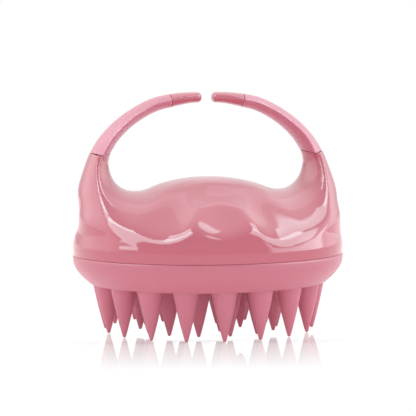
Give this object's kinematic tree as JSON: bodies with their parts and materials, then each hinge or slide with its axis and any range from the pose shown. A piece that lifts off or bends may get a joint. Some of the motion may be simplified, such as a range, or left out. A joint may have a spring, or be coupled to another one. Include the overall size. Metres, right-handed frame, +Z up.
{
  "type": "scalp massager brush",
  "caption": "Round hand-held scalp massager: domed palm cap with finger hollows, two sprung arms forming a finger ring, and a silicone bristle moulding beneath.",
  "frame": {"origin": "middle of the plane that the bristle tips stand on", "axes": "+Z up through the middle of the cap, X along the two arms (right arm at +X), the front with a finger hollow facing it is -Y"},
  "size_m": [0.0888, 0.0888, 0.0777],
  "materials": {
    "gloss_pink": "high gloss",
    "gloss_tip": "gloss",
    "satin_pink": "satin",
    "soft_pink": "soft satin",
    "pink_silicone": "matt silicone",
    "inner_plastic": "as moulded",
    "core_plastic": "as moulded",
    "screw_steel": "plated",
    "seal_rubber": "matt"
  },
  "bodies": {
    "brush_body": {"upper_shell": "gloss_pink", "base_ring": "satin_pink", "bristle_pad": "pink_silicone", "backing_plate": "inner_plastic", "seal_ring": "seal_rubber", "plate_screw_1": "screw_steel", "plate_screw_2": "screw_steel", "plate_screw_3": "screw_steel", "plate_screw_4": "screw_steel", "plate_screw_5": "screw_steel", "plate_screw_6": "screw_steel"},
    "left_arm": {"left_arm_core": "core_plastic", "left_grip_sleeve": "soft_pink", "left_arm_tip": "gloss_tip"},
    "right_arm": {"right_arm_core": "core_plastic", "right_grip_sleeve": "soft_pink", "right_arm_tip": "gloss_tip"}
  },
  "joints": [
    {"name": "left_arm_flex", "type": "hinge", "parent": "brush_body", "child": "left_arm", "pos_m": [-0.0372, 0, 0.0579], "axis": [0, -1, 0], "range_deg": [-2, 12], "stiffness_Nm_per_rad": 0.28},
    {"name": "right_arm_flex", "type": "hinge", "parent": "brush_body", "child": "right_arm", "pos_m": [0.0372, 0, 0.0579], "axis": [0, 1, 0], "range_deg": [-2, 12], "stiffness_Nm_per_rad": 0.28}
  ]
}
